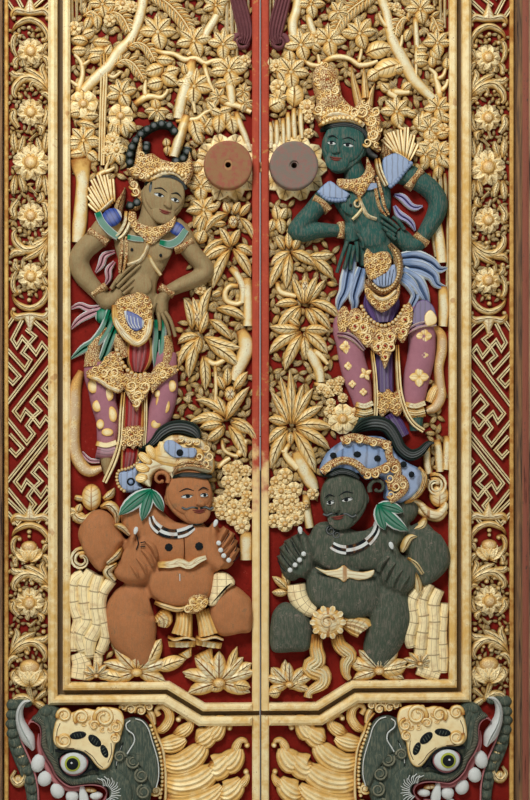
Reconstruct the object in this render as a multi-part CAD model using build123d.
"""Carved double temple door in its timber frame.

Millimetres, +Z up. The visitor stands on the -Y side and the leaves open away, towards +Y.
X = 0 is the slit between the leaves, Y = 0 the plane of the four turned pivots, and Z = 0 the
underside of the sill. Carving stands on the front of the boards, seated on their flat ground.
"""

from build123d import *
import os
from math import atan2, cos, degrees, hypot, pi, radians, sin, sqrt, tan

# Leaves
LEAF_H = 1890.0            # height of each leaf
SLIT = 3.0                 # gap between the two meeting edges
BOARD_T = 40.0             # thickness of the planks
STILE_W = 13.5             # width of the meeting stile
STILE_PROUD = 15.0         # how far it stands in front of the ground
PANEL_W = 326.0            # carved panel between stile and inner moulding
INNER_W = 13.0             # inner moulding
GROOVE_W = 10.0            # plain groove between the mouldings
OUTER_W = 16.0             # outer moulding
BORDER_W = 72.0            # carved border
TRIM_W = 7.5               # thin trim at the hinge edge
INNER_PROUD = 20.0
OUTER_PROUD = 24.0
TRIM_PROUD = 10.0
HIGH_LEDGE = 322.0         # panel foot above the leaf foot, on the hinge side
LOW_LEDGE = 282.5          # the same on the meeting side, below the step
STEP_OUT = 164.0           # the sloped step starts this far from the slit
STEP_IN = 100.0            # and ends here
TOP_RAIL_H = 87.0          # plain rail above the outer moulding
FOOT_RAIL_H = 18.0         # plain strip at the foot of the leaf
PLANK_JOINT = 232.0        # seam between the two planks, from the slit

# Frame
SILL_H = 90.0
LINTEL_H = 110.0
POST_W = 100.0
FRAME_FRONT = 60.0         # the frame's face in front of the pivot plane
BAND_W = 9.0               # plain band beside the leaf
QUIRK_W = 10.0             # red line beside it
BAND_SET = 16.0            # the band's face behind the post's face
QUIRK_SET = 8.0            # the line's face behind the post's face
HORN_L = 90.0              # ends of sill and lintel that are built into the masonry
EDGE_GAP = 2.0             # leaf to post
FLOOR_GAP = 4.0            # leaf to sill and to lintel
STOP_W = 380.0             # half length of the stop strips
STOP_T = 18.0
STOP_LAP = 12.0            # how far a stop strip covers a leaf
STOP_GAP = 0.5
TENON_L = 40.0
TENON_T = 30.0
TENON_W = 60.0
PEG_D = 14.0
PEG_STANDS = 3.0
PEG_CLEAR = 0.1

# Pivots, battens and bolt
PIVOT_IN = 24.0            # pivot axis from the hinge edge
PIVOT_D = 26.0
PIVOT_CLEAR = 0.08         # running clearance on the radius
PIVOT_OUT = 30.0           # length in the socket
PIVOT_SEAT = 60.0          # length in the plank
SOCKET_SPARE = 0.3
BATTEN_H = 70.0
BATTEN_T = 26.0
BATTEN_INSET = 30.0        # batten end from the slit
BATTEN_REACH = 385.0       # other end, from the slit
BATTEN_LEVELS = (200.0, 945.0, 1690.0)
BATTEN_PEG_D = 12.0
BOLT_LEVEL = 1120.0        # above the leaf foot
BOLT_H = 38.0
BOLT_T = 22.0
BOLT_L = 300.0
BOLT_TRAVEL = 80.0
BOLT_SET = 10.0            # bolt and loops stand back from the slit by this
BOLT_CLEAR = 0.4
GUIDE_W = 34.0
GUIDE_WALL = 14.0
KNOB_D = 20.0
KNOB_L = 26.0

# Bosses
BOSS_LEVEL = 1247.5        # above the leaf foot
BOSS_OUT = 59.0            # centre from the middle of the slit
BOSS_D = 87.0
BOSS_PROUD = 38.0
BOSS_HOLE_D = 10.5
BOSS_EYE_D = 17.0
PLUG_W = 14.0
PLUG_H = 20.0
LOTUS_D = 112.0
LOTUS_PROUD = 16.0

# The carver's drawing, squared up from the top left corner: 290 columns and 1050 rows of squares
DRAWN_AXIS = 260.5         # column of the slit
DRAWN_STILE = 8.35         # squares from the slit to the panel
DRAWN_PANEL = 181.1        # squares across the panel
DRAWN_FOOT = 860.0         # row of the leaf foot
DRAWN_ROWS = 1050.0        # rows of the leaf

# Heights of the carving above the ground
CLOTH_UP = 15.0
LEG_UP = 22.0
BODY_UP = 27.0
ARM_UP = 31.0
HEAD_UP = 38.0
CROWN_UP = 34.0
TRUNK_UP = 14.0
LEAF_UP = 20.0
BORDER_UP = 14.0
FRET_UP = 8.0
FRET_W = 8.0
FOUR_LEAVES = 22.0         # radius of a cluster of four leaves
MORE_LEAVES = 10.0         # every further leaf adds this to it
HEART_RISE = 0.6           # heart of a rosette, as a share of its height
# Rosette shapes, as shares of the radius: neck between leaves, shoulders and their swing, rib top
SLIM = (0.26, 0.62, 0.34, 0.6)
PLUMP = (0.42, 0.84, 0.38, 0.7)

# Worked out from the sizes above
FACE = BOARD_T / 2
LEAF_FOOT = SILL_H + FLOOR_GAP
LEAF_TOP = LEAF_FOOT + LEAF_H
PANEL_IN = SLIT / 2 + STILE_W
PANEL_OUT = PANEL_IN + PANEL_W
BORDER_IN = PANEL_OUT + INNER_W + GROOVE_W + OUTER_W
BORDER_OUT = BORDER_IN + BORDER_W
LEAF_EDGE = BORDER_OUT + TRIM_W
PIVOT_X = LEAF_EDGE - PIVOT_IN
POST_IN = LEAF_EDGE + EDGE_GAP
POST_OUT = POST_IN + POST_W
LINTEL_Z = LEAF_TOP + FLOOR_GAP
FRAME_TOP = LINTEL_Z + LINTEL_H
MOULD_W = INNER_W + GROOVE_W + OUTER_W
PANEL_TOP = LEAF_TOP - TOP_RAIL_H - MOULD_W
FOOT_TOP = LEAF_FOOT + FOOT_RAIL_H
STEP_TILT = atan2(HIGH_LEDGE - LOW_LEDGE, STEP_OUT - STEP_IN)
GROUND = Plane(origin=(0, -FACE, 0), x_dir=(1, 0, 0), z_dir=(0, -1, 0))
SIDES = {"left": -1, "right": 1}

# Cross-sections of carved strips: share of the half width, share of the height
ROUND = ((-1, 0), (-0.86, 0.66), (0, 1), (0.86, 0.66), (1, 0))
RIDGE = ((-1, 0), (0, 1), (1, 0))
FLAT = ((-1, 0), (-1, 0.85), (-0.8, 1), (0.8, 1), (1, 0.85), (1, 0))


def at(col, row):
    """Place on the leaves of a square of the drawing."""
    side = -1 if col < DRAWN_AXIS else 1
    out = PANEL_IN + (abs(col - DRAWN_AXIS) - DRAWN_STILE) * PANEL_W / DRAWN_PANEL
    return side * out, LEAF_FOOT + (DRAWN_FOOT - row) * LEAF_H / DRAWN_ROWS


def outline(side, points):
    """Face in the carving plane through points given as distance from the slit and height."""
    turned = [(side * out, up) for out, up in points]
    return make_face(Polyline(*turned, close=True))


def raised(face, height, start=0.0):
    """Solid that stands on the ground of the boards."""
    return Pos(0, 0, start) * extrude(face, amount=height, dir=(0, 0, 1))


def faceted(corners, triangles):
    """Closed solid with flat faces through corners, given the corner numbers of each face."""
    faces = [Face(Wire.make_polygon([corners[i] for i in t])) for t in triangles]
    return Solid(Shell(faces)).clean()


def strip(stations, height, section=ROUND, ends=1.0):
    """Carved strip along stations (x, z, width), mitred at each, thinner at the ends if asked."""
    rings = []
    last = len(stations) - 1
    for i, (x, z, width) in enumerate(stations):
        back = stations[max(i - 1, 0)]
        ahead = stations[min(i + 1, last)]
        before = atan2(z - back[1], x - back[0]) if i else None
        after = atan2(ahead[1] - z, ahead[0] - x) if i < last else None
        before = after if before is None else before
        after = before if after is None else after
        turn = (after - before + pi) % (2 * pi) - pi
        heading = before + turn / 2
        half = width / 2 / cos(turn / 2)
        top = height * (ends if i in (0, last) else 1.0)
        rings.append(
            [(x - sin(heading) * half * a, z + cos(heading) * half * a, top * b) for a, b in section]
        )
    count = len(section)
    corners = [corner for ring in rings for corner in ring]
    faces = [list(range(count)), [last * count + i for i in range(count)]]
    for i in range(last):
        for j in range(count):
            a, b = i * count + j, i * count + (j + 1) % count
            faces.append((a, b, b + count))
            faces.append((a, b + count, a + count))
    caps = [[(c[0], c[k], c[k + 1]) for k in range(1, count - 1)] for c in faces[:2]]
    return faceted(corners, caps[0] + caps[1] + faces[2:])


def drawn_strip(squares, height, section=ROUND, ends=1.0):
    """Strip through squares of the drawing, each given as column, row and width."""
    return strip([(*at(col, row), width) for col, row, width in squares], height, section, ends)


def blade(x, z, length, width, heading, height):
    """Leaf or petal with a sharp rib, from its base at (x, z)."""
    corners = [
        (0, 0, 0),
        (0.5 * length, width / 2, 0),
        (length, 0, 0),
        (0.5 * length, -width / 2, 0),
        (0.12 * length, 0, 0.75 * height),
        (0.62 * length, 0, height),
    ]
    faces = [(0, 1, 2), (0, 2, 3), (0, 1, 4), (1, 4, 5), (1, 2, 5), (0, 3, 4), (3, 4, 5), (3, 2, 5)]
    turned = []
    for a, b, c in corners:
        turned.append((x + a * cos(heading) - b * sin(heading), z + a * sin(heading) + b * cos(heading), c))
    return faceted(turned, faces)


def rosette(x, z, radius, count, height, turn=0.0, plump=SLIM):
    """Ribbed leaves or petals round a raised heart, all one solid."""
    neck, shoulder, swell, rib = plump
    step = 2 * pi / count
    corners = [(0, 0, 0), (0, 0, HEART_RISE * height)]
    faces = []
    for i in range(count):
        middle = turn + i * step
        for reach, swing, up in ((neck, -0.5, 0), (shoulder, -swell, 0), (1, 0, 0), (shoulder, swell, 0), (rib, 0, height)):
            angle = middle + swing * step
            corners.append((reach * radius * cos(angle), reach * radius * sin(angle), up))
        first = 2 + 5 * i
        edge = [first, first + 1, first + 2, first + 3, 2 + 5 * ((i + 1) % count)]
        for p, q in zip(edge, edge[1:]):
            faces += [(0, p, q), (p, q, first + 4)]
        faces += [(1, edge[0], first + 4), (1, edge[4], first + 4)]
    return faceted([(x + a, z + b, c) for a, b, c in corners], faces)


def arc_stations(x, z, radius, start, sweep, widths):
    """Stations along an arc, start and sweep in degrees."""
    last = len(widths) - 1
    stations = []
    for i, width in enumerate(widths):
        angle = radians(start + sweep * i / last)
        stations.append((x + radius * cos(angle), z + radius * sin(angle), width))
    return stations


def carved(shapes):
    """Fuse carved shapes into one piece on the ground of the boards."""
    return GROUND * (Part() + shapes)


def panel_outline(side, grow=0.0):
    """Stepped outline of the panel, pushed outwards by grow. Its straight side is the stile."""
    lean = grow * tan(STEP_TILT / 2)
    low, high = LEAF_FOOT + LOW_LEDGE - grow, LEAF_FOOT + HIGH_LEDGE - grow
    points = [
        (PANEL_IN, low),
        (STEP_IN + lean, low),
        (STEP_OUT + lean, high),
        (PANEL_OUT + grow, high),
        (PANEL_OUT + grow, PANEL_TOP + grow),
        (PANEL_IN, PANEL_TOP + grow),
    ]
    return outline(side, points)


def foot_outline(side):
    """Outline of the lower field, under the outer moulding and the border."""
    lean = MOULD_W * tan(STEP_TILT / 2)
    low, high = LEAF_FOOT + LOW_LEDGE - MOULD_W, LEAF_FOOT + HIGH_LEDGE - MOULD_W
    points = [
        (PANEL_IN, FOOT_TOP),
        (BORDER_OUT, FOOT_TOP),
        (BORDER_OUT, high),
        (STEP_OUT + lean, high),
        (STEP_IN + lean, low),
        (PANEL_IN, low),
    ]
    return outline(side, points)


def border_outline(side):
    """Outline of the carved border beside the panel."""
    foot = LEAF_FOOT + HIGH_LEDGE - MOULD_W
    top = LEAF_TOP - TOP_RAIL_H
    return outline(side, [(BORDER_IN, foot), (BORDER_OUT, foot), (BORDER_OUT, top), (BORDER_IN, top)])


def field(face):
    """Space over an outline that its carving is kept in."""
    return GROUND * raised(face, 120)


def moulding(side, inner, outer, proud):
    """Moulding that follows the panel's stepped outline, with rounded arrises."""
    band = panel_outline(side, outer) - panel_outline(side, inner)
    bar = extrude(band, amount=proud, dir=(0, 0, 1))
    arrises = bar.faces().sort_by(Axis.Z)[-1].edges()
    return GROUND * chamfer(arrises, min((outer - inner) / 3, proud / 3))


def planks(side):
    """The two planks of a leaf, the outer one with the rounded heel and the pivot bores."""
    inner = Pos(side * (SLIT / 2 + PLANK_JOINT) / 2, 0, LEAF_FOOT + LEAF_H / 2) * Box(
        PLANK_JOINT - SLIT / 2, BOARD_T, LEAF_H
    )
    hole = Pos(side * BOSS_OUT, 0, LEAF_FOOT + BOSS_LEVEL) * Rot(90, 0, 0)
    inner -= hole * Cylinder(BOSS_HOLE_D / 2, 2 * BOARD_T)
    outer = Pos(side * (PLANK_JOINT + LEAF_EDGE) / 2, 0, LEAF_FOOT + LEAF_H / 2) * Box(
        LEAF_EDGE - PLANK_JOINT, BOARD_T, LEAF_H
    )
    heel = outer.edges().filter_by(Axis.Z).sort_by(Axis.Y)[-2:]
    heel = heel.sort_by(Axis.X)[-1 if side > 0 else 0]
    outer = fillet(heel, min(FACE, PIVOT_IN))
    for end in (LEAF_FOOT + PIVOT_SEAT / 2, LEAF_TOP - PIVOT_SEAT / 2):
        outer -= Pos(side * PIVOT_X, 0, end) * Cylinder(PIVOT_D / 2, PIVOT_SEAT)
    return inner, outer


def stiles(side):
    """Red meeting stile beside the panel and the gilded one below the step."""
    middle = SLIT / 2 + STILE_W / 2
    foot = LEAF_FOOT + LOW_LEDGE - INNER_W
    spans = ((foot, LEAF_TOP - TOP_RAIL_H), (FOOT_TOP, foot - GROOVE_W))
    bars = []
    for low, high in spans:
        bar = Pos(side * middle, (low + high) / 2, STILE_PROUD / 2) * Box(STILE_W, high - low, STILE_PROUD)
        arrises = bar.faces().sort_by(Axis.Z)[-1].edges().filter_by(Axis.Y)
        bars.append(GROUND * chamfer(arrises, STILE_PROUD / 6))
    return bars


def trim(side):
    """Thin gilded strip at the hinge edge of the leaf."""
    height = LEAF_TOP - TOP_RAIL_H - FOOT_TOP
    bar = Box(TRIM_W, height, TRIM_PROUD, align=(Align.CENTER, Align.MIN, Align.MIN))
    bar = chamfer(bar.faces().sort_by(Axis.Z)[-1].edges().filter_by(Axis.Y), TRIM_W / 4)
    return GROUND * (Pos(side * (BORDER_OUT + TRIM_W / 2), FOOT_TOP, 0) * bar)


def pivots(side):
    """Turned pivots at the foot and the head of a leaf, each a dowel let into the plank."""
    dowel = Cylinder(PIVOT_D / 2, PIVOT_SEAT + PIVOT_OUT, align=(Align.CENTER, Align.CENTER, Align.MIN))
    dowel = chamfer(dowel.faces().sort_by(Axis.Z)[-1].edges(), PIVOT_D / 10)
    head = Pos(side * PIVOT_X, 0, LEAF_TOP - PIVOT_SEAT) * dowel
    foot = Pos(side * PIVOT_X, 0, LEAF_FOOT + PIVOT_SEAT) * Rot(180, 0, 0) * dowel
    return head, foot


def battens(side):
    """Three ledges across the back of a leaf, with their pegs."""
    bars = []
    pegs = []
    for level in BATTEN_LEVELS:
        bar = Pos(side * (BATTEN_INSET + BATTEN_REACH) / 2, FACE + BATTEN_T / 2, LEAF_FOOT + level) * Box(
            BATTEN_REACH - BATTEN_INSET, BATTEN_T, BATTEN_H
        )
        bar = chamfer(bar.faces().sort_by(Axis.Y)[-1].edges(), BATTEN_T / 5)
        for out in (BATTEN_INSET + BATTEN_H, PLANK_JOINT - BATTEN_H, PLANK_JOINT + BATTEN_H):
            place = Pos(side * out, FACE, LEAF_FOOT + level) * Rot(-90, 0, 0)
            seat = Cylinder(BATTEN_PEG_D / 2 + PEG_CLEAR, BATTEN_T, align=(Align.CENTER, Align.CENTER, Align.MIN))
            peg = Cylinder(
                BATTEN_PEG_D / 2, BATTEN_T + PEG_STANDS, align=(Align.CENTER, Align.CENTER, Align.MIN)
            )
            bar -= place * seat
            pegs.append(place * peg)
        bars.append(bar)
    return Compound(children=bars), Compound(children=pegs)


def bolt():
    """Draw bolt on the back of the left leaf, drawn back, with its knob."""
    x = -(SLIT / 2 + BOLT_SET + BOLT_L / 2)
    y = FACE + BOLT_CLEAR + BOLT_T / 2
    bar = Pos(x, y, LEAF_FOOT + BOLT_LEVEL) * Box(BOLT_L, BOLT_T, BOLT_H)
    bar = chamfer(bar.faces().sort_by(Axis.X)[-1].edges(), BOLT_CLEAR * 5)
    knob = Cylinder(KNOB_D / 2, KNOB_L, align=(Align.CENTER, Align.CENTER, Align.MIN))
    knob = chamfer(knob.faces().sort_by(Axis.Z)[-1].edges(), KNOB_D / 6)
    knob_x = -loop_places()[1] + GUIDE_W / 2 + KNOB_D / 2 + BOLT_SET
    return bar + Pos(knob_x, y + BOLT_T / 2, LEAF_FOOT + BOLT_LEVEL) * Rot(-90, 0, 0) * knob


def loop_places():
    """Distance from the slit to the middle of each bolt loop, both on the shot bolt too."""
    near = SLIT / 2 + BOLT_SET + GUIDE_W / 2
    far = SLIT / 2 + BOLT_SET + BOLT_L - BOLT_TRAVEL - BOLT_SET - GUIDE_W / 2
    return near, far


def bolt_loop(x):
    """Wooden loop on the back of a leaf that the bolt slides in."""
    depth = BOLT_T + 2 * BOLT_CLEAR
    block = Box(
        GUIDE_W, depth + GUIDE_WALL, BOLT_H + 2 * BOLT_CLEAR + 2 * GUIDE_WALL,
        align=(Align.CENTER, Align.MIN, Align.CENTER),
    )
    block = chamfer(block.faces().sort_by(Axis.Y)[-1].edges(), GUIDE_WALL / 4)
    way = Box(2 * GUIDE_W, depth, BOLT_H + 2 * BOLT_CLEAR, align=(Align.CENTER, Align.MIN, Align.CENTER))
    return Pos(x, FACE, LEAF_FOOT + BOLT_LEVEL) * (block - way)


def boss(side):
    """Turned boss that the ring pull hung from, bored for it, and the left one's plug."""
    place = GROUND * Pos(side * BOSS_OUT, LEAF_FOOT + BOSS_LEVEL, 0)
    disc = Cylinder(BOSS_D / 2, BOSS_PROUD, align=(Align.CENTER, Align.CENTER, Align.MIN))
    disc = fillet(disc.faces().sort_by(Axis.Z)[-1].edges(), BOSS_PROUD / 8)
    hole = Cylinder(BOSS_HOLE_D / 2, 3 * BOSS_PROUD)
    if side > 0:
        eye = Pos(0, 0, BOSS_PROUD) * Cylinder(BOSS_EYE_D / 2, 2 * PEG_STANDS)
        return place * (disc - hole - eye), None
    seat = SlotOverall(PLUG_H, PLUG_W, rotation=90)
    depth = BOSS_PROUD / 3
    plug = Pos(0, 0, BOSS_PROUD - depth) * extrude(seat, amount=depth - PEG_CLEAR * 10) - hole
    disc -= Pos(0, 0, BOSS_PROUD - depth) * extrude(offset(seat, PEG_CLEAR), amount=2 * depth) + hole
    return place * disc, place * plug


def lotus(side):
    """Scalloped lotus behind the boss: petals round a bored plate, cut at the stile."""
    x, z = side * BOSS_OUT, LEAF_FOOT + BOSS_LEVEL
    count = 10
    reach = LOTUS_D / 2
    face = Circle(reach * 0.86)
    for i in range(count):
        face += Rot(0, 0, 360 / count * (i + 0.5)) * Pos(reach * 0.86, 0) * Circle(reach * 0.24)
    plate = extrude(face, amount=LOTUS_PROUD) - Cylinder(BOSS_D / 2 + PEG_CLEAR, 4 * LOTUS_PROUD)
    return GROUND * Pos(x, z, 0) * plate & field(panel_outline(side))


def post(side):
    """Post with its stepped, moulded edge towards the leaf, tenoned into sill and lintel."""
    back, front = FACE, -FRAME_FRONT
    band_out = POST_IN + BAND_W
    quirk_out = band_out + QUIRK_W
    points = [
        (POST_IN, back),
        (POST_IN, front + BAND_SET),
        (band_out, front + BAND_SET),
        (band_out, front + QUIRK_SET + QUIRK_W / 3),
        (band_out + QUIRK_W / 3, front + QUIRK_SET),
        (quirk_out, front + QUIRK_SET),
        (quirk_out, front + QUIRK_W / 3),
        (quirk_out + QUIRK_W / 3, front),
        (POST_OUT, front),
        (POST_OUT, back),
    ]
    section = make_face(Polyline(*[(side * x, y) for x, y in points], close=True))
    shaft = Pos(0, 0, SILL_H) * extrude(section, amount=LINTEL_Z - SILL_H, dir=(0, 0, 1))
    for low in (SILL_H - TENON_L, LINTEL_Z):
        shaft += tenon(side, low, 0)
    for place in peg_places(side):
        shaft -= place * Cylinder(PEG_D / 2 + PEG_CLEAR, 3 * FRAME_FRONT)
    return shaft


def tenon(side, low, clear):
    """Tenon of a post from height low upwards, or its mortise with a clearance."""
    x = side * (POST_IN + POST_W / 2)
    y = (FACE - FRAME_FRONT) / 2
    return Pos(x, y, low + TENON_L / 2) * Box(TENON_W + 2 * clear, TENON_T + 2 * clear, TENON_L)


def peg_places(side):
    """Where the pegs cross the tenons, two at the sill and two at the lintel."""
    x = side * (POST_IN + POST_W / 2)
    y = (FACE - FRAME_FRONT) / 2
    places = []
    for z in (SILL_H - TENON_L / 2, LINTEL_Z + TENON_L / 2):
        for shift in (-TENON_W / 4, TENON_W / 4):
            places.append(Pos(x + shift, y, z) * Rot(90, 0, 0))
    return places


def rail(low, height):
    """Sill or lintel with horns, mortised for both posts and bored for the pivots and pegs."""
    half = POST_OUT + HORN_L
    depth = FACE + FRAME_FRONT
    bar = Pos(0, (FACE - FRAME_FRONT) / 2, low + height / 2) * Box(2 * half, depth, height)
    arrises = bar.edges().filter_by(Axis.X).group_by(Axis.Y)[0]
    bar = chamfer(arrises, QUIRK_W / 2)
    inside = low + height if low < LEAF_FOOT else low
    sunk = -1 if low < LEAF_FOOT else 1
    depth = PIVOT_OUT - FLOOR_GAP + SOCKET_SPARE
    for side in SIDES.values():
        bar -= tenon(side, inside + (sunk - 1) * TENON_L / 2, PEG_CLEAR)
        socket = Cylinder(PIVOT_D / 2 + PIVOT_CLEAR, depth)
        bar -= Pos(side * PIVOT_X, 0, inside + sunk * depth / 2) * socket
        for place in peg_places(side):
            bar -= place * Cylinder(PEG_D / 2 + PEG_CLEAR, 3 * FRAME_FRONT)
    return bar


def stop_strip(low, height):
    """Strip that the closed leaves rest against, clear of the turning heels."""
    y = -(FACE + STOP_GAP + STOP_T / 2)
    strip_bar = Pos(0, y, low + height / 2) * Box(2 * STOP_W, STOP_T, height)
    return chamfer(strip_bar.faces().sort_by(Axis.Y)[0].edges(), STOP_T / 6)


def frame_pegs():
    """Draw pegs through the tenons, standing a little proud in front."""
    length = FACE + FRAME_FRONT + PEG_STANDS
    peg = chamfer(Cylinder(PEG_D / 2, length).edges(), PEG_D / 10)
    pegs = []
    for side in SIDES.values():
        for place in peg_places(side):
            pegs.append(Pos(0, -PEG_STANDS / 2, 0) * place * peg)
    return Compound(children=pegs)


def head_stop():
    """Stop strip under the lintel, in front of both leaves."""
    return stop_strip(LEAF_TOP - STOP_LAP, STOP_LAP + FLOOR_GAP)


def sill_stop():
    """Stop strip on the sill, in front of both leaves."""
    return stop_strip(SILL_H, STOP_LAP + FLOOR_GAP)


# Carved figures, drawn square by square: height, then stations of column, row and width in mm
LEFT_PRINCE = (
    (LEG_UP, ((91, 366, 40), (95, 385, 54), (100, 402, 46), (106, 426, 44), (107, 452, 30), (107, 472, 8))),
    (LEG_UP, ((168, 362, 46), (165, 386, 48), (161, 410, 44), (153, 438, 30))),
    (CLOTH_UP, ((112, 318, 26), (98, 340, 24), (72, 356, 8))),
    (CLOTH_UP, ((112, 330, 24), (106, 355, 20), (94, 370, 6))),
    (CLOTH_UP, ((160, 322, 26), (160, 350, 24), (157, 372, 10))),
    (CLOTH_UP, ((86, 366, 16), (76, 403, 24), (75, 447, 22), (84, 470, 20), (101, 466, 6))),
    (CLOTH_UP + 3, ((134, 380, 44), (135, 430, 42), (131, 462, 34))),
    (CLOTH_UP + 3, ((124, 392, 9), (120, 438, 9), (104, 486, 12), (92, 498, 16))),
    (BODY_UP - 2, ((136, 400, 20), (136, 385, 60), (137, 355, 80), (136, 330, 76), (136, 305, 64))),
    (BODY_UP, ((146, 232, 110), (145, 250, 104), (146, 275, 74), (140, 305, 78))),
    (BODY_UP + 5, ((136, 347, 10), (135, 330, 58), (134, 305, 66), (138, 296, 50))),
    (ARM_UP - 5, ((112, 226, 40), (90, 245, 38), (77, 262, 36))),
    (ARM_UP - 3, ((78, 254, 36), (101, 292, 30), (114, 304, 30), (128, 284, 20), (139, 267, 6))),
    (ARM_UP - 5, ((180, 238, 36), (196, 255, 36), (209, 270, 36))),
    (ARM_UP - 3, ((211, 266, 32), (167, 293, 26), (160, 308, 26), (170, 330, 14))),
    (HEAD_UP - 8, ((146, 240, 64), (152, 222, 34), (157, 208, 36))),
    (HEAD_UP, ((172, 230, 26), (170, 218, 56), (164, 200, 78), (161, 182, 74))),
    (CROWN_UP, ((187, 184, 34), (160, 170, 48), (134, 165, 30), (138, 140, 10))),
    (HEAD_UP - 6, ((136, 172, 24), (140, 205, 26), (134, 216, 18))),
    (CLOTH_UP + 6, ((130, 168, 22), (138, 140, 24), (156, 127, 22), (172, 131, 20))),
    (CLOTH_UP + 4, ((180, 122, 24), (174, 158, 26))),
    (CLOTH_UP + 2, ((92, 178, 16), (104, 197, 36), (118, 212, 40))),
)
RIGHT_PRINCE = (
    (LEG_UP, ((350, 318, 44), (352, 340, 48), (357, 372, 42), (364, 405, 40), (364, 420, 26))),
    (LEG_UP, ((424, 312, 48), (420, 345, 50), (416, 385, 40), (415, 406, 46), (417, 420, 26))),
    (CLOTH_UP, ((349, 268, 24), (345, 292, 26), (338, 312, 8))),
    (CLOTH_UP, ((404, 262, 30), (430, 266, 22), (448, 288, 8))),
    (CLOTH_UP, ((406, 268, 30), (420, 292, 26), (430, 308, 8))),
    (CLOTH_UP, ((440, 330, 18), (443, 370, 20), (438, 405, 30))),
    (CLOTH_UP + 3, ((384, 350, 38), (386, 412, 40), (402, 438, 26))),
    (CLOTH_UP + 3, ((400, 352, 10), (404, 412, 10), (425, 434, 10), (438, 438, 8))),
    (BODY_UP - 2, ((384, 370, 16), (382, 345, 60), (382, 322, 112), (382, 290, 100), (380, 262, 72))),
    (BODY_UP, ((362, 188, 112), (362, 205, 108), (372, 235, 74), (380, 262, 70))),
    (BODY_UP + 5, ((381, 314, 10), (382, 300, 60), (380, 275, 66), (376, 256, 54))),
    (ARM_UP - 5, ((330, 194, 38), (312, 216, 36), (294, 236, 26))),
    (ARM_UP - 3, ((292, 236, 24), (341, 230, 28), (356, 238, 30), (350, 256, 26), (338, 276, 8))),
    (ARM_UP - 5, ((398, 168, 44), (426, 184, 42), (444, 204, 32))),
    (ARM_UP - 3, ((443, 202, 32), (424, 238, 30), (410, 244, 30), (384, 224, 14))),
    (HEAD_UP - 8, ((360, 190, 60), (356, 172, 34), (352, 158, 36))),
    (HEAD_UP, ((341, 176, 26), (341, 164, 58), (344, 142, 84), (346, 122, 82))),
    (CROWN_UP + 2, ((347, 122, 110), (342, 106, 100), (330, 90, 60), (325, 68, 26))),
    (CROWN_UP - 4, ((364, 104, 20), (370, 122, 44), (368, 146, 34), (376, 156, 10))),
    (CLOTH_UP, ((352, 104, 18), (353, 66, 4))),
    (CLOTH_UP, ((364, 104, 20), (366, 68, 4))),
    (CLOTH_UP, ((370, 108, 20), (375, 84, 4))),
    (CLOTH_UP + 2, ((404, 128, 60), (396, 152, 36), (386, 160, 24))),
)
LEFT_ATTENDANT = (
    (CLOTH_UP, ((74, 562, 8), (84, 590, 34), (93, 640, 40), (94, 684, 20))),
    (CLOTH_UP + 2, ((196, 596, 26), (178, 620, 30), (170, 660, 30))),
    (CLOTH_UP + 2, ((200, 596, 26), (208, 620, 26), (216, 656, 24))),
    (LEG_UP + 3, ((168, 592, 70), (140, 620, 72), (128, 660, 60))),
    (LEG_UP + 3, ((190, 590, 60), (226, 600, 66), (232, 640, 54))),
    (BODY_UP + 8, ((180, 612, 70), (180, 590, 116), (181, 560, 104), (180, 532, 96), (180, 520, 70))),
    (ARM_UP + 4, ((146, 516, 56), (112, 530, 70), (98, 558, 62))),
    (ARM_UP + 6, ((100, 556, 50), (122, 572, 44), (136, 552, 50), (134, 534, 20))),
    (ARM_UP, ((206, 566, 40), (219, 556, 44), (222, 528, 46))),
    (HEAD_UP - 4, ((202, 526, 30), (190, 508, 70), (184, 486, 84), (180, 472, 86))),
    (CROWN_UP + 4, ((214, 474, 16), (196, 452, 60), (166, 456, 74), (138, 478, 40))),
    (HEAD_UP - 6, ((192, 482, 20), (214, 484, 14))),
    (CLOTH_UP + 5, ((140, 450, 8), (158, 432, 16), (184, 430, 16), (204, 440, 6))),
    (CLOTH_UP + 5, ((126, 492, 20), (146, 503, 30), (166, 512, 12))),
    (CLOTH_UP + 8, ((150, 520, 14), (172, 532, 16), (196, 530, 14))),
)
RIGHT_ATTENDANT = (
    (CLOTH_UP, ((444, 576, 8), (434, 604, 34), (424, 650, 42), (424, 684, 20))),
    (CLOTH_UP + 2, ((330, 606, 26), (318, 640, 26), (318, 668, 22))),
    (CLOTH_UP + 2, ((332, 606, 26), (346, 640, 26), (350, 670, 22))),
    (LEG_UP + 3, ((356, 604, 60), (392, 622, 76), (392, 664, 60))),
    (LEG_UP + 3, ((334, 600, 56), (296, 616, 66), (290, 650, 50))),
    (BODY_UP + 8, ((346, 622, 70), (346, 600, 120), (346, 568, 108), (348, 544, 96), (350, 530, 70))),
    (ARM_UP + 4, ((384, 526, 54), (414, 542, 70), (430, 568, 62))),
    (ARM_UP + 6, ((428, 566, 50), (404, 584, 46), (392, 564, 50), (394, 546, 20))),
    (ARM_UP, ((314, 576, 40), (301, 566, 44), (297, 538, 46))),
    (HEAD_UP - 4, ((332, 538, 28), (340, 520, 70), (346, 498, 84), (352, 482, 86))),
    (CROWN_UP + 4, ((318, 482, 16), (336, 462, 64), (370, 462, 84), (404, 482, 50))),
    (HEAD_UP - 6, ((340, 492, 20), (320, 494, 14))),
    (CLOTH_UP + 5, ((322, 448, 8), (344, 434, 18), (378, 432, 18), (420, 446, 8))),
    (CLOTH_UP + 5, ((414, 500, 20), (394, 515, 30), (372, 524, 12))),
    (CLOTH_UP + 8, ((330, 542, 14), (354, 546, 16), (378, 534, 14))),
)
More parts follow.
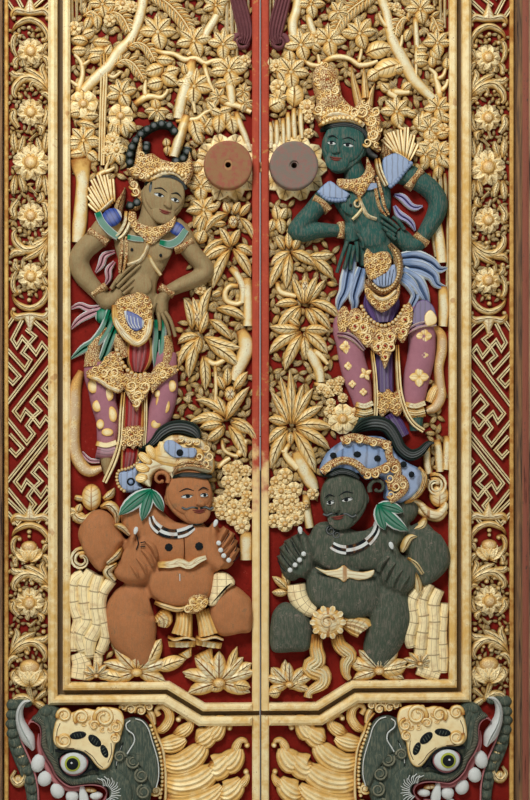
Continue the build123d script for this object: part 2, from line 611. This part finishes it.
GUARDIAN = (
    (HEAD_UP, ((106, 722, 30), (92, 744, 96), (78, 762, 120), (64, 788, 130), (62, 822, 110), (66, 842, 60))),
    (HEAD_UP + 8, ((58, 752, 8), (80, 738, 20), (102, 736, 22), (118, 752, 12))),
    (HEAD_UP + 10, ((24, 702, 5), (32, 724, 16), (38, 750, 20))),
    (HEAD_UP + 6, ((30, 800, 30), (44, 786, 34), (70, 790, 26), (96, 796, 18))),
    (HEAD_UP, ((120, 724, 10), (134, 736, 26), (150, 752, 10))),
    (HEAD_UP - 6, ((40, 700, 10), (58, 706, 26), (72, 716, 20))),
    (HEAD_UP - 6, ((92, 708, 10), (108, 712, 26), (120, 722, 16))),
)
MANE = (
    (LEAF_UP, ((10, 704, 10), (18, 730, 26), (16, 770, 30), (16, 836, 26))),
    (LEAF_UP, ((140, 708, 12), (160, 706, 24), (176, 718, 22), (168, 732, 10))),
    (LEAF_UP, ((130, 800, 44), (160, 766, 46), (192, 744, 34), (232, 728, 6))),
    (LEAF_UP, ((134, 826, 40), (176, 790, 44), (214, 766, 30), (248, 748, 6))),
    (LEAF_UP, ((120, 844, 30), (180, 826, 44), (222, 800, 36), (250, 776, 8))),
    (LEAF_UP, ((150, 846, 20), (206, 842, 34), (250, 826, 14))),
)
# Trunks and branches of the left and the right panel
LEFT_TRUNKS = (
    ((142, -116, 20), (150, -60, 26), (141, 0, 24), (127, 43, 24), (110, 69, 22), (86, 92, 16)),
    ((196, -110, 18), (214, -50, 20), (204, 0, 18), (194, 60, 16), (180, 118, 18)),
    ((84, 160, 24), (82, 200, 28), (80, 250, 26), (78, 262, 20)),
    ((104, 60, 8), (101, 120, 8), (104, 170, 7)),
    ((244, 232, 14), (232, 285, 14), (240, 340, 16), (226, 400, 16)),
    ((240, 520, 14), (246, 560, 20), (242, 640, 16)),
)
RIGHT_TRUNKS = (
    ((372, -116, 22), (366, -50, 24), (384, 10, 24), (408, 69, 26), (432, 94, 16)),
    ((430, -110, 16), (444, -30, 16), (441, 40, 14), (441, 110, 12)),
    ((292, 100, 20), (290, 146, 24)),
    ((302, 100, 18), (303, 146, 20)),
    ((330, 58, 10), (352, 55, 10), (378, 62, 9)),
    ((438, 190, 16), (444, 250, 26), (441, 330, 28)),
    ((303, 300, 12), (316, 362, 20), (312, 380, 16)),
    ((288, 480, 12), (278, 510, 12)),
)
# Leaf clusters and flowers: column, row, radius in mm
LEFT_CLUSTERS = (
    (176, -100, 38), (110, -92, 40), (228, -80, 34), (84, -50, 32), (232, -20, 34), (158, -14, 30),
    (200, -8, 28), (103, 12, 26), (228, 14, 28), (176, 10, 34), (186, 21, 22), (120, 24, 22),
    (158, 32, 30), (194, 42, 28), (223, 45, 28), (79, 40, 24), (102, 46, 23), (140, 52, 24),
    (228, 71, 31), (130, 66, 24), (163, 71, 30), (194, 87, 31), (123, 94, 25), (83, 104, 27),
    (157, 110, 21), (121, 122, 27), (224, 121, 28), (196, 128, 24), (84, 142, 26), (114, 147, 24),
    (246, 90, 20), (204, 206, 30), (232, 224, 26), (230, 250, 44), (197, 312, 30), (204, 336, 46),
    (228, 390, 30), (227, 420, 46), (236, 474, 30), (222, 504, 20), (240, 514, 26), (78, 512, 20),
    (145, 668, 40), (224, 682, 36),
)
RIGHT_CLUSTERS = (
    (330, -100, 38), (404, -94, 40), (296, -74, 34), (340, -42, 34), (296, -20, 34), (436, -14, 26),
    (364, -12, 32), (358, 12, 34), (398, 6, 22), (404, 24, 24), (424, 8, 26), (432, 24, 22),
    (329, 40, 29), (360, 35, 27), (302, 45, 28), (292, 72, 31), (382, 50, 26), (391, 70, 28),
    (397, 110, 30), (438, 44, 26), (440, 108, 26), (428, 128, 24), (441, 142, 22), (432, 158, 24),
    (278, 96, 24), (278, 218, 26), (292, 262, 38), (306, 290, 34), (284, 318, 26), (303, 330, 42),
    (284, 362, 26), (332, 392, 26), (344, 419, 28), (292, 426, 50), (285, 494, 28), (282, 522, 26),
    (438, 490, 28), (283, 684, 34), (376, 678, 38), (440, 270, 24),
)
# Border ornament of one leaf, by row: flowers with petals and radius, then the pointed crowns
BORDER_FLOWERS = (
    (53, 6, 25), (108, 5, 25), (165, 7, 33), (222, 5, 25), (277, 6, 25),
    (545, 6, 25), (603, 5, 25), (668, 6, 27),
)
BORDER_SHIFTS = (0, 10, 0, 10, 0, 0, 10, 0)
BORDER_CROWNS = ((316, -1), (516, 1), (14, 1))
FRET_RUNS = ((332, 504), (-166, 2))
FRET_PERIOD = 73.0         # rows from one cross of the fret to the next of its kind


def border_middle(side):
    """Centre line of the carved border."""
    return side * (BORDER_IN + BORDER_OUT) / 2


def row_z(row):
    """Height of a row of the drawing."""
    return at(0, row)[1]


def border_flowers(side):
    """Flowers, crowns and scrolls of a border."""
    middle = border_middle(side)
    shapes = []
    for (row, count, radius), shift in zip(BORDER_FLOWERS, BORDER_SHIFTS):
        x, z = middle + side * shift, row_z(row)
        shapes.append(rosette(x, z, radius, count, BORDER_UP, pi / 2, PLUMP))
        for way in (-1, 1):
            turn = 90 if way > 0 else 270
            arc = arc_stations(x - side * shift * 1.6, z, radius + 9, turn - 60, 120, (3, 9, 9, 3))
            shapes.append(strip(arc, BORDER_UP * 0.7, RIDGE))
    for row, way in BORDER_CROWNS:
        z = row_z(row)
        for i, length in zip((-1, 0, 1), (26, 34, 26)):
            heading = way * pi / 2 + i * 0.6
            shapes.append(blade(middle + i * 6, z - way * 18, length, 15, heading, BORDER_UP))
        shapes.append(rosette(middle, z - way * 18, 13, 5, BORDER_UP, 0, PLUMP))
    return carved(shapes) & field(border_outline(side))


def fret_arms(x, z, reach):
    """The hooked arms of one cross of the key fret, as runs of corner points."""
    arms = []
    for quarter in range(4):
        turn = pi / 4 + quarter * pi / 2
        out = (x + reach * cos(turn), z + reach * sin(turn))
        bend = turn + pi / 2
        hook = (out[0] + reach * cos(bend), out[1] + reach * sin(bend))
        back = turn + pi
        tail = (hook[0] + 0.9 * reach * cos(back), hook[1] + 0.9 * reach * sin(back))
        arms.append([(x, z), out, hook, tail])
    return arms


def border_fret(side):
    """Diagonal key fret of a border: rows of hooked crosses joined edge to edge."""
    middle = border_middle(side)
    pitch = FRET_PERIOD / 2 * LEAF_H / DRAWN_ROWS
    reach = pitch / 3.4
    face = None
    for top, foot in FRET_RUNS:
        span = row_z(top) - row_z(foot)
        count = int(span / pitch)
        for i in range(count):
            z = row_z(foot) + (i + 0.5) * span / count
            for arm in fret_arms(middle, z, reach):
                for a, b in zip(arm, arm[1:]):
                    face = bar_face(a, b) if face is None else face + bar_face(a, b)
    return GROUND * raised(face, FRET_UP) & field(border_outline(side))


def bar_face(a, b):
    """Flat bar of the fret from one corner to the next, with square corners."""
    length = hypot(b[0] - a[0], b[1] - a[1]) + FRET_W
    middle = ((a[0] + b[0]) / 2, (a[1] + b[1]) / 2)
    return Pos(*middle) * Rot(0, 0, degrees(atan2(b[1] - a[1], b[0] - a[0]))) * Rectangle(length, FRET_W)


def figure(table, flip=False):
    """Carved figure from a table of strips, mirrored over the slit if asked."""
    shapes = []
    for height, squares in table:
        if flip:
            squares = [(2 * DRAWN_AXIS - col, row, width) for col, row, width in squares]
        shapes.append(drawn_strip(squares, height))
    return carved(shapes)


def foliage(side, low, high):
    """Trunks and leaf clusters of a panel between two rows of the drawing."""
    trunks = LEFT_TRUNKS if side < 0 else RIGHT_TRUNKS
    clusters = LEFT_CLUSTERS if side < 0 else RIGHT_CLUSTERS
    shapes = []
    for squares in trunks:
        if low <= squares[0][1] < high:
            shapes.append(drawn_strip(squares, TRUNK_UP))
    for i, (col, row, radius) in enumerate(clusters):
        if low <= row < high:
            count = round(4 + (radius - FOUR_LEAVES) / MORE_LEAVES)
            shape = PLUMP if count < 5 else SLIM
            shapes.append(rosette(*at(col, row), radius, count, LEAF_UP - 3 * (i % 3), i * 0.7, shape))
    return carved(shapes) & field(panel_outline(side))


def leaf_carvings(side, name):
    """All carved pieces of one leaf, each cut where the one above it stands."""
    panel = field(panel_outline(side))
    flower = lotus(side)
    disc, plug = boss(side)
    keep_off = GROUND * Pos(side * BOSS_OUT, LEAF_FOOT + BOSS_LEVEL, 0) * Cylinder(BOSS_D / 2 + 1, 200)
    prince = figure(LEFT_PRINCE if side < 0 else RIGHT_PRINCE) & panel
    attendant = figure(LEFT_ATTENDANT if side < 0 else RIGHT_ATTENDANT) & panel
    prince = prince - keep_off - flower - attendant
    upper = foliage(side, -200, 260) - keep_off - flower - prince
    lower = foliage(side, 260, 800) - prince - attendant - upper
    lower_field = field(foot_outline(side))
    head = figure(GUARDIAN, flip=side > 0) & lower_field
    mane = (figure(MANE, flip=side > 0) & lower_field) - head
    pieces = {
        "lotus": flower,
        "boss": disc,
        "prince": prince,
        "attendant": attendant,
        "foliage_upper": upper,
        "foliage_lower": lower,
        "guardian_head": head,
        "guardian_mane": mane,
        "border_flowers": border_flowers(side),
        "border_fret": border_fret(side),
    }
    if plug:
        pieces["boss_plug"] = plug
    return {f"{name}_{key}": piece for key, piece in pieces.items()}


def leaf(side, name):
    """Every piece of one leaf."""
    inner, outer = planks(side)
    upper_stile, lower_stile = stiles(side)
    head, foot = pivots(side)
    ledges, pegs = battens(side)
    pieces = {
        "inner_plank": inner,
        "outer_plank": outer,
        "upper_stile": upper_stile,
        "lower_stile": lower_stile,
        "inner_moulding": moulding(side, 0, INNER_W, INNER_PROUD),
        "outer_moulding": moulding(side, MOULD_W - OUTER_W, MOULD_W, OUTER_PROUD),
        "edge_trim": trim(side),
        "head_pivot": head,
        "foot_pivot": foot,
        "battens": ledges,
        "batten_pegs": pegs,
    }
    named = {f"{name}_{key}": piece for key, piece in pieces.items()}
    return named | leaf_carvings(side, name)


def door():
    """Every piece of the door by name."""
    loops = [bolt_loop(-out) for out in loop_places()]
    pieces = {
        "threshold": rail(0, SILL_H),
        "lintel": rail(LINTEL_Z, LINTEL_H),
        "left_post": post(-1),
        "right_post": post(1),
        "head_stop": head_stop(),
        "sill_stop": sill_stop(),
        "frame_pegs": frame_pegs(),
        "bolt": bolt(),
        "bolt_loops": Compound(children=loops),
        "bolt_keeper": bolt_loop(loop_places()[0]),
    }
    for name, side in SIDES.items():
        pieces.update(leaf(side, name))
    return pieces


os.makedirs("parts", exist_ok=True)
for node, piece in door().items():
    export_step(piece, f"parts/{node}.step")
